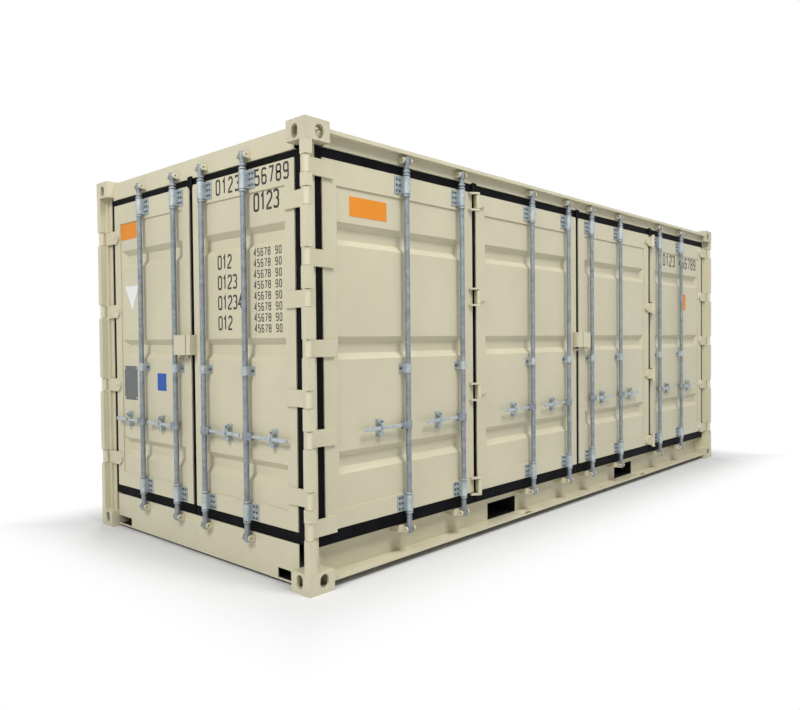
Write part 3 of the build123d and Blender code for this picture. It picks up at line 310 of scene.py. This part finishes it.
# Each leaf's face, the way its handles point (-1 left, 1 right), and how far along the face its bars stand.
LEAVES = {
    "side_leaf_1": (SIDE, -1, (0.832, 1.391)),
    "side_leaf_2": (SIDE, -1, (2.276, 2.829)),
    "side_leaf_3": (SIDE, 1, (3.229, 3.782)),
    "side_leaf_4": (SIDE, 1, (4.667, 5.226)),
    "end_leaf_left": (END, -1, (0.600, 1.050)),
    "end_leaf_right": (END, 1, (1.388, 1.838)),
}
for leaf in LEAVES:
    finish_node(leaf, cream_paint)

# The strap welds: every hinge strap is welded to its leaf along its two edges and its end.
# Beads of 7 mm, painted over; the straps with cut corners are also held by two rivets.

LEAF_FRONT = 0.056
LEAF_EDGE = 0.168
STRAP_FRONT = 0.042
STRAP_TIP = 0.240
STRAP_HALF = 0.0475
STRAP_TAPER = 0.034
STRAP_BEAD = 0.0035
STRAP_RIVETS = np.array((0.190, 0.217))
BEAD_SINK = 0.001
SIDE_HINGES = np.linspace(0.351, 2.342, 5)
END_HINGES = np.linspace(0.520, 2.170, 4)
# Radius, height and number of sides of a rivet's head.
STRAP_RIVET_HEAD = (0.009, 0.004, 10)
# The heights of each leaf's straps, and how much is cut off their corners.
STRAPS = {
    "side_leaf_1": (SIDE_HINGES, 0),
    "side_leaf_4": (SIDE_HINGES, STRAP_TAPER),
    "end_leaf_left": (END_HINGES, STRAP_TAPER),
    "end_leaf_right": (END_HINGES, 0),
}


def studs(centres, right, out, radius, height, sides=6):
    """Bolt and rivet heads: about each centre, rings of the full radius at 0 and 0.7 of the height, and
    of 0.78 of the radius at the height."""
    angle = np.arange(sides) * 2 * np.pi / sides
    ring = np.cos(angle)[:, None] * right + np.sin(angle)[:, None] * np.cross(out, right)
    reach = radius * np.array((1, 1, 0.78))[:, None, None]
    rise = height * np.array((0, 0.7, 1))[:, None, None]
    return centres.reshape(-1, 1, 1, 3) + reach * ring + rise * out


for leaf, (hinges, taper) in STRAPS.items():
    face, hand, _ = LEAVES[leaf]
    length = SIDE_LENGTH if face is SIDE else END_LENGTH
    along = np.array((LEAF_EDGE, STRAP_TIP - taper, STRAP_TIP, STRAP_TIP, STRAP_TIP - taper, LEAF_EDGE))
    edge = np.array((-1, -1, -1, 1, 1, 1)) * STRAP_HALF + np.array((0, 0, 1, -1, 0, 0)) * taper
    if taper == 0:
        along, edge = along[[0, 2, 3, 5]], edge[[0, 2, 3, 5]]
    rivets = STRAP_RIVETS
    if hand > 0:
        along, rivets = length - along, length - rivets
    runs = [weld_bead(on_face(face, along, LEAF_FRONT - BEAD_SINK, middle + edge), face[2], STRAP_BEAD)
            for middle in hinges]
    add_piece(f"{leaf}_strap_welds", runs, cream_paint, leaf)
    if taper:
        places = on_face(face, rivets[:, None], STRAP_FRONT, hinges)
        heads = studs(places, face[1], face[2], *STRAP_RIVET_HEAD)
        add_piece(f"{leaf}_strap_rivets", [heads], cream_paint, leaf)

# The plates on the doors: blank painted plates, riveted or glued on the panels.
# Each is cut from 1.5 mm tin plate, with rounded corners and a rolled edge.

PANEL_FRONT = 0.064
PLATE_THICKNESS = 0.0015
TRIANGLE = np.array(((0, -0.090), (0.098, 0.078), (0.092, 0.084), (-0.092, 0.084), (-0.098, 0.078)))
SLATE_MIDDLE = (0.3660, 1.0905)
SLATE_RIVETS = (0.082, 0.108)
SLATE_RIVET_HEAD = (0.005, 0.003, 10)


def rounded(width, height, corner, steps=5):
    """A rectangle's outline, counter-clockwise, with quarter circles about points set in by corner."""
    turn = np.linspace(0, np.pi / 2, steps)
    angle = (np.arange(4)[:, None] * np.pi / 2 + turn).ravel()
    sign = np.repeat(((1, 1), (-1, 1), (-1, -1), (1, -1)), steps, axis=0)
    centre = sign * (width / 2 - corner, height / 2 - corner)
    return centre + corner * np.column_stack((np.cos(angle), np.sin(angle)))


def plate(face, middle, outline, thickness, roll=0.0008):
    """A flat plate on a face: its outline at the back and at the front, then set in by the rolled edge."""
    right, out = face[1:]
    reach = np.abs(outline).max(axis=0)
    sizes = np.stack((outline, outline, outline * (1 - roll / reach)))
    rise = np.array((0, thickness - roll, thickness))[:, None, None]
    return (middle + sizes[..., :1] * right + sizes[..., 1:] * UP + rise * out)[None]


orange_paint = painted_steel("orange_plate", (0.780, 0.265, 0.006, 1), (0.700, 0.230, 0.008, 1), 0.45)
blue_paint = painted_steel("blue_plate", (0.008, 0.080, 0.400, 1), (0.012, 0.072, 0.330, 1), 0.45)
white_paint = painted_steel("white_plate", (0.800, 0.800, 0.790, 1), (0.720, 0.715, 0.700, 1), 0.40)
slate_paint = painted_steel("slate_plate", (0.100, 0.108, 0.110, 1), (0.150, 0.156, 0.154, 1), 0.45)
# Each plate's name and leaf, its middle along and above the face, its outline and its paint.
PLATES = (
    ("side_plate", "side_leaf_1", (0.5345, 2.1645), rounded(0.311, 0.115, 0.004), orange_paint),
    ("end_plate", "end_leaf_left", (0.3455, 2.2020), rounded(0.271, 0.118, 0.004), orange_paint),
    ("far_plate", "side_leaf_4", (5.3875, 1.7645), rounded(0.125, 0.171, 0.006), orange_paint),
    ("blue_plate", "end_leaf_left", (0.8050, 1.1105), rounded(0.118, 0.121, 0.004), blue_paint),
    ("slate_plate", "end_leaf_left", SLATE_MIDDLE, rounded(0.192, 0.249, 0.022), slate_paint),
    ("white_plate", "end_leaf_left", (0.4025, 1.7160), TRIANGLE, white_paint),
)
for name, leaf, (along, height), outline, finish in PLATES:
    face = LEAVES[leaf][0]
    middle = on_face(face, along, PANEL_FRONT, height)
    add_piece(name, [plate(face, middle, outline, PLATE_THICKNESS)], finish, leaf)
slate_places = [on_face(END, SLATE_MIDDLE[0] + across * SLATE_RIVETS[0], PANEL_FRONT - PLATE_THICKNESS,
                        SLATE_MIDDLE[1] + above * SLATE_RIVETS[1])
                for across in (-1, 1) for above in (-1, 1)]
slate_rivets = studs(np.array(slate_places), END[1], END[2], *SLATE_RIVET_HEAD)
add_piece("slate_plate_rivets", [slate_rivets], white_paint, "end_leaf_left")

# The painted figures: plain counting digits in black stencil paint, in rows on two of the leaves.
# Straight strokes with cut corners, in a coat that stands 0.5 mm proud of the leaf, so that it shows.

STROKES = {
    "0": ((0, 0.5), (0, 0.88), (0.2, 1), (0.8, 1), (1, 0.88), (1, 0.12), (0.8, 0), (0.2, 0), (0, 0.12),
          (0, 0.5)),
    "1": ((0.15, 0.80), (0.55, 1), (0.55, 0)),
    "2": ((0, 0.82), (0.2, 1), (0.8, 1), (1, 0.86), (1, 0.62), (0, 0.14), (0, 0), (1, 0)),
    "3": ((0, 0.9), (0.2, 1), (0.8, 1), (1, 0.88), (1, 0.62), (0.7, 0.52), (1, 0.42), (1, 0.12), (0.8, 0),
          (0.2, 0), (0, 0.1)),
    "4": ((0.75, 0), (0.75, 1), (0, 0.32), (1, 0.32)),
    "5": ((0.95, 1), (0.05, 1), (0.05, 0.58), (0.8, 0.58), (1, 0.46), (1, 0.12), (0.8, 0), (0.2, 0),
          (0, 0.1)),
    "6": ((1, 0.88), (0.8, 1), (0.2, 1), (0, 0.88), (0, 0.12), (0.2, 0), (0.8, 0), (1, 0.12), (1, 0.42),
          (0.8, 0.54), (0.06, 0.54)),
    "7": ((0, 1), (1, 1), (0.4, 0)),
    "8": ((0.5, 0.53), (0.2, 0.53), (0, 0.42), (0, 0.12), (0.2, 0), (0.8, 0), (1, 0.12), (1, 0.42),
          (0.8, 0.53), (0.2, 0.53), (0, 0.64), (0, 0.88), (0.2, 1), (0.8, 1), (1, 0.88), (1, 0.64),
          (0.8, 0.53), (0.5, 0.53)),
    "9": ((0, 0.12), (0.2, 0), (0.8, 0), (1, 0.12), (1, 0.88), (0.8, 1), (0.2, 1), (0, 0.88), (0, 0.58),
          (0.2, 0.46), (0.94, 0.46)),
}
DIGIT_WIDTH = 0.44
STROKE_WIDTH = 0.15
COAT = 0.0004
COAT_LIFT = 0.0003


def figures(face, text, left, foot, depth, height, pitch):
    """A row of digits, each DIGIT_WIDTH x height wide and drawn with bands STROKE_WIDTH x height wide."""
    band = bar_section(COAT, height * STROKE_WIDTH)
    rows = []
    for place, digit in enumerate(text):
        if digit == " ":
            continue
        shape = np.array(STROKES[digit]) * (height * DIGIT_WIDTH, height)
        path = on_face(face, left + place * pitch + shape[:, 0], depth - COAT_LIFT, foot + shape[:, 1])
        rows.append(carry(path, face[2], band))
    return rows


stencil_black = painted_steel("stencil_black", (0.012, 0.012, 0.013, 1), (0.026, 0.025, 0.024, 1), 0.50)
# Each row's text, then its left end, foot, depth, height and pitch.
END_ROWS = [("0123 456789", 1.515, 2.302, LEAF_FRONT, 0.086, 0.067),
            ("0123", 1.895, 2.156, PANEL_FRONT, 0.096, 0.062)]
TALL_ROWS = [("01234"[:3 + row % 3], 1.512, 1.842 - row * 0.126, PANEL_FRONT, 0.078, 0.053)
             for row in range(4)]
SMALL_ROWS = [("45678 90", 1.886, 1.890 - row * 0.064, PANEL_FRONT, 0.042, 0.034)
              for row in range(8)]
SIDE_ROWS = [("0123 456789", 4.846, 2.138, PANEL_FRONT, 0.104, 0.084)]
FIGURES = (
    ("end_figures", "end_leaf_right", END_ROWS),
    ("end_table", "end_leaf_right", TALL_ROWS + SMALL_ROWS),
    ("side_figures", "side_leaf_4", SIDE_ROWS),
)
for name, leaf, rows in FIGURES:
    bands = [band for row in rows for band in figures(LEAVES[leaf][0], *row)]
    add_piece(name, bands, stencil_black, leaf)

# The fittings of the lock boxes: a stud on the right half of the end box, and a stop lug welded
# on the leaf below each left half. Small pieces of flat bar, painted with the doors.

LUG_ROLL = 0.002
END_STUD_PLACE = (1.252, 0.002, 1.338)
END_STUD_HEAD = (0.011, 0.0018, 14)
end_stud = studs(on_face(END, *END_STUD_PLACE), END[1], END[2], *END_STUD_HEAD)
add_piece("lock_box_stud", [end_stud], cream_paint, "end_leaf_right")
# Each lug's name and leaf, its middle along and above the face, its outline and how far it stands out.
LUGS = (
    ("end_stop_lug", "end_leaf_left", (1.176, 1.290), rounded(0.028, 0.022, 0.005), 0.022),
    ("side_stop_lug", "side_leaf_2", (2.978, 1.291), rounded(0.046, 0.012, 0.003), 0.030),
)
for name, leaf, (along, height), outline, reach in LUGS:
    face = LEAVES[leaf][0]
    lug = plate(face, on_face(face, along, LEAF_FRONT, height), outline, reach, LUG_ROLL)
    add_piece(name, [lug], cream_paint, leaf)

# The leaf seals: extruded black rubber clamped all round each leaf.
# A lip bears on the frame and a bulb fills the step behind it; dull, slightly dusty.

RUBBER = (0.0025, 0.0027, 0.0034, 1)
RUBBER_DUSTY = (0.0075, 0.0075, 0.0085, 1)
seal_rubber, rubber, rubber_shader = new_material("seal_rubber")
rubber_place = add_node(rubber, "TexCoord", "Object", {})
dust = add_node(rubber, "TexNoise", "Fac", {"Vector": rubber_place, "Scale": 9, "Detail": 4})
dust_tint = colour_ramp(rubber, dust, (0.35, RUBBER), (0.80, RUBBER_DUSTY))
set_inputs(rubber, rubber_shader, {"Base Color": dust_tint, "Roughness": 0.62, "Specular IOR Level": 0.06})
for leaf in LEAVES:
    finish_node(f"{leaf}_seal", seal_rubber)

# The rain flaps: short rubber tabs clamped over the tops of the gaps between the leaves.
# Cut from 5 mm sheet, they lap the frame's edge in front of the seal.

FLAP_OUTLINE = rounded(0.054, 0.070, 0.006)
FLAP_THICKNESS = 0.005
FLAP_ROLL = 0.001
FLAP_SINK = 0.001
FLAPS = (("side_leaf_2", 1.569, 2.440), ("side_leaf_3", 3.029, 2.440), ("side_leaf_3", 4.489, 2.440),
         ("end_leaf_right", 1.219, 2.428))
for number, (leaf, along, height) in enumerate(FLAPS, 1):
    face = LEAVES[leaf][0]
    middle = on_face(face, along, LEAF_FRONT - FLAP_SINK, height)
    flap = plate(face, middle, FLAP_OUTLINE, FLAP_THICKNESS, FLAP_ROLL)
    add_piece(f"rain_flap_{number}", [flap], seal_rubber, leaf)

# The lock gear: twelve bars with cams and forks, their brackets, handles and catches.
# Forged and pressed steel, hot-dip galvanised, so it is blue-grey with pale and dark spangles.


def galvanised(name, dark, light, metallic, smooth, rough):
    """Zinc over steel: cell colours of 6 mm spangles and slow clouds, added up, shade it dark to light."""
    zinc, tree, shader = new_material(name)
    place = add_node(tree, "TexCoord", "Object", {})
    spangle = add_node(tree, "TexVoronoi", "Color", {"Vector": place, "Scale": 170})
    bloom = add_node(tree, "TexNoise", "Fac", {"Vector": place, "Scale": 26, "Detail": 4})
    share = arithmetic(tree, "MULTIPLY_ADD", spangle, 0.30, bloom)
    tint = colour_ramp(tree, share, (0.36, dark), (0.88, light))
    dull = add_node(tree, "MapRange", "Result", {"Value": bloom, "To Min": smooth, "To Max": rough})
    set_inputs(tree, shader, {"Base Color": tint, "Metallic": metallic, "Roughness": dull})
    return zinc


bar_zinc = galvanised("bar_zinc", (0.150, 0.174, 0.192, 1), (0.300, 0.335, 0.360, 1), 0.40, 0.38, 0.60)
cast_zinc = galvanised("cast_zinc", (0.290, 0.335, 0.352, 1), (0.500, 0.555, 0.570, 1), 0.45, 0.28, 0.50)
for leaf in LEAVES:
    finish_node(f"{leaf}_lock_gear", cast_zinc)
    for number in (1, 2):
        finish_node(f"{leaf}_bar_{number}", bar_zinc)
        finish_node(f"{leaf}_handle_{number}", cast_zinc)

# The bolts of the gear: each bar's brackets, middle guide and handle catches are bolted to the leaf.
# Hexagon heads of zinc-plated steel, darker than the castings they hold.

BAR_DEPTH = 0.024
BRACKET_HEIGHTS = np.array((0.371, 2.3445))
BRACKET_FRONT = 0.050
BRACKET_COLUMNS = np.array((0.036, 0.062))
BRACKET_ROWS = np.array((-0.034, 0, 0.034))
GUIDE_HEIGHT = 1.213
GUIDE_FRONT = 0.058
GUIDE_BOLT = 0.035
CATCH_REACH = 0.232
CATCH_FRONT = 0.034
CATCH_LOBE = 0.036
HANDLE_HEIGHTS = {"side": 0.862, "end": 0.826}
SADDLE_RADIUS = 0.023
SADDLE_SLANT = np.radians(25)
SADDLE_ROWS = np.array((-0.034, 0.034))
PIN_SINK = 0.001
# Radius and height of each kind of head, and how many sides it has where they aren't six.
BRACKET_HEAD = (0.008, 0.0055)
GUIDE_HEAD = (0.0095, 0.007)
CATCH_HEAD = (0.0095, 0.006)
PIN_HEAD = (0.006, 0.0035, 8)
dark_zinc = painted_steel("dark_zinc", (0.060, 0.066, 0.072, 1), (0.125, 0.135, 0.142, 1), 0.40)
dark_zinc.node_tree.nodes["Principled BSDF"].inputs["Metallic"].default_value = 0.5
for leaf, (face, hand, bars) in LEAVES.items():
    right, out = face[1:]
    foot = -1 if face is SIDE else 1
    bars = np.array(bars)
    columns = bars[:, None, None] + foot * BRACKET_COLUMNS[:, None]
    spots = [on_face(face, columns, BRACKET_FRONT, middle + BRACKET_ROWS) for middle in BRACKET_HEIGHTS]
    guides = on_face(face, bars + foot * GUIDE_BOLT, GUIDE_FRONT, GUIDE_HEIGHT)
    lobe_height = HANDLE_HEIGHTS[leaf.split("_")[0]] + CATCH_LOBE
    lobes = on_face(face, bars + hand * CATCH_REACH, CATCH_FRONT, lobe_height)
    radial = -foot * np.cos(SADDLE_SLANT) * right + np.sin(SADDLE_SLANT) * out
    saddles = on_face(face, bars[:, None, None], BAR_DEPTH, BRACKET_HEIGHTS[:, None] + SADDLE_ROWS)
    heads = [studs(np.array(spots), right, out, *BRACKET_HEAD), studs(guides, right, out, *GUIDE_HEAD),
             studs(lobes, right, out, *CATCH_HEAD),
             studs(saddles + (SADDLE_RADIUS - PIN_SINK) * radial, UP, radial, *PIN_HEAD)]
    add_piece(f"{leaf}_bolts", heads, dark_zinc, leaf)

# The bar rings: forged washers pressed on each bar above and below its brackets.
# They keep the bar from sliding in its saddles, and turn with it.

RING_HEIGHTS = np.array((0.3125, 0.434, 2.279, 2.409, 2.430))
RING_RADIUS = 0.0235
RING_HALF = 0.0035
ring_reach = RING_RADIUS * np.array((0.74, 0.93, 1, 1, 0.93, 0.74))[:, None, None]
ring_rise = RING_HALF * np.array((-1, -1, -0.6, 0.6, 1, 1))[:, None, None]
around = np.arange(24) * np.pi / 12
for leaf, (face, _, bars) in LEAVES.items():
    corner, right, out = face
    circle = np.cos(around)[:, None] * right - np.sin(around)[:, None] * out
    for number in (1, 2):
        name = f"{leaf}_bar_{number}"
        low, high = (np.array(point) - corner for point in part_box(name))
        middle = (low + high) @ right / 2
        bar = min(bars, key=lambda along: abs(along - middle))
        centres = on_face(face, bar, BAR_DEPTH, RING_HEIGHTS).reshape(-1, 1, 1, 3)
        rings = centres + ring_reach * circle + ring_rise * UP
        add_piece(f"{name}_rings", [rings], cast_zinc, name)

# The handle hooks: a bent steel tongue on every handle drops from the upper lobe of its catch,
# passes in front of the handle and holds it shut. It turns away with the handle.

HANDLE_START = 0.029
HOOK_SECTION = bar_section(0.022, 0.004)
HOOK_DEPTHS = np.array((0.0315, 0.0315, 0.016, 0.0145, 0.0165, 0.013))
HOOK_HEIGHTS = np.array((0.050, 0.030, 0.017, 0.000, -0.014, -0.021))
for leaf, (face, hand, _) in LEAVES.items():
    heights = HANDLE_HEIGHTS[leaf.split("_")[0]] + HOOK_HEIGHTS
    for number in (1, 2):
        name = f"{leaf}_handle_{number}"
        ends = sorted((np.array(corner) - face[0]) @ face[1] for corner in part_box(name))
        start = ends[1] if hand < 0 else ends[0]
        path = on_face(face, start + hand * (CATCH_REACH - HANDLE_START), HOOK_DEPTHS, heights)
        add_piece(f"{name}_hook", [carry(path, face[1], HOOK_SECTION)], cast_zinc, name)

# The studio: a pale floor, grey by the foot with real and painted shadow fading to white, a white surround
# and soft lamps, with the camera at eye height off the near corner, as the object was photographed.

FLOOR_REACH = 40
SHADOW_FADE_START = 0.02
SHADOW_FADE_END = 0.75


def any_ray(tree, *kinds):
    """1 for a ray of one of the kinds, else 0."""
    rays = tree.nodes.new("ShaderNodeLightPath").outputs
    seen = rays[kinds[0]]
    for kind in kinds[1:]:
        seen = arithmetic(tree, "MAXIMUM", seen, rays[kind])
    return seen


floor_mesh = bpy.data.meshes.new("studio_floor")
floor_corners = [(x * FLOOR_REACH, y * FLOOR_REACH, 0) for x, y in ((-1, -1), (1, -1), (1, 1), (-1, 1))]
floor_mesh.from_pydata(floor_corners, [], [(0, 1, 2, 3)])
floor = add_object("studio_floor", floor_mesh)
# Painted shadow in part: near the footprint camera rays see the grey diffuse floor, which catches real
# shadows and is also darker than the white beyond, fading to white by 0.75 m.
floor_white, ground, ground_shader = new_material("studio_white")
set_inputs(ground, ground_shader, {"Base Color": (0.62, 0.62, 0.62, 1), "Roughness": 0.9})
ground_place = add_node(ground, "TexCoord", "Object", {})
ground_x = add_node(ground, "SeparateXYZ", "X", {"Vector": ground_place})
ground_y = add_node(ground, "SeparateXYZ", "Y", {"Vector": ground_place})
beside = arithmetic(ground, "SUBTRACT", arithmetic(ground, "ABSOLUTE", ground_x), SIDE_LENGTH / 2)
before = arithmetic(ground, "SUBTRACT", arithmetic(ground, "ABSOLUTE", ground_y), END_LENGTH / 2)
away = arithmetic(ground, "MAXIMUM", beside, before)
shadow_fade = add_node(ground, "MapRange", "Result", {"Value": away, "From Min": SHADOW_FADE_START, "From Max": SHADOW_FADE_END},
                interpolation_type="SMOOTHSTEP")
seen = any_ray(ground, "Is Camera Ray", "Is Glossy Ray", "Is Transmission Ray")
white = add_node(ground, "Emission", "Emission", {})
ground_mix = add_node(ground, "MixShader", "Shader", {"Fac": arithmetic(ground, "MULTIPLY", shadow_fade, seen),
                                                      1: ground_shader.outputs["BSDF"], 2: white})
set_inputs(ground, ground.nodes["Material Output"], {"Surface": ground_mix})
floor_mesh.materials.append(floor_white)

world = bpy.data.worlds.new("studio_world")
bpy.context.scene.world = world
world.use_nodes = True
sky = world.node_tree
sky_light = sky.nodes["Background"]
set_inputs(sky, sky_light, {"Color": (0.94, 0.97, 1.0, 1), "Strength": 0.30})
sky_seen = add_node(sky, "Background", "Background", {"Color": (1, 1, 1, 1), "Strength": 1.0})
white_rays = any_ray(sky, "Is Camera Ray", "Is Transmission Ray", "Is Glossy Ray")
sky_mix = add_node(sky, "MixShader", "Shader",
                   {"Fac": white_rays, 1: sky_light.outputs["Background"], 2: sky_seen})
set_inputs(sky, sky.nodes["World Output"], {"Surface": sky_mix})


def soft_lamp(name, place, target, width, power):
    """A square area lamp at place, turned to look at target."""
    lamp = bpy.data.lights.new(name, "AREA")
    lamp.size = width
    lamp.energy = power
    holder = add_object(name, lamp)
    holder.location = place
    holder.rotation_euler = (Vector(target) - Vector(place)).to_track_quat("-Z", "Y").to_euler()


soft_lamp("key_lamp", (-2.0, -8.0, 12.0), (0, 0, 1.2), 5.0, 1330)
soft_lamp("end_lamp", (-11.0, -2.5, 9.0), (-3, 0, 1.2), 4.0, 900)
soft_lamp("back_lamp", (5.0, 11.0, 9.0), (0, 0, 1.2), 6.0, 700)

SENSOR_WIDTH = 36
PICTURE_WIDTH = 800
FOCAL_LENGTH = 720.8
CAMERA_PLACE = (-5.5403, -4.1860, 1.3924)
azimuth, elevation, roll = np.radians((-47.545, 1.249, -0.531))
camera_data = bpy.data.cameras.new("camera")
camera_data.sensor_width = SENSOR_WIDTH
camera_data.lens = FOCAL_LENGTH / PICTURE_WIDTH * SENSOR_WIDTH
camera = add_object("camera", camera_data)
back = np.array((np.sin(azimuth) * np.cos(elevation), -np.cos(azimuth) * np.cos(elevation),
                 np.sin(elevation)))
level = np.cross(-back, (0, 0, 1))
level /= np.linalg.norm(level)
upright = np.cross(level, -back)
right = np.cos(roll) * level + np.sin(roll) * upright
top = np.cos(roll) * upright - np.sin(roll) * level
turn = Matrix(np.column_stack((right, top, back)).tolist()).to_4x4()
camera.matrix_world = Matrix.Translation(CAMERA_PLACE) @ turn
bpy.context.scene.camera = camera
bpy.context.scene.view_settings.view_transform = "Standard"
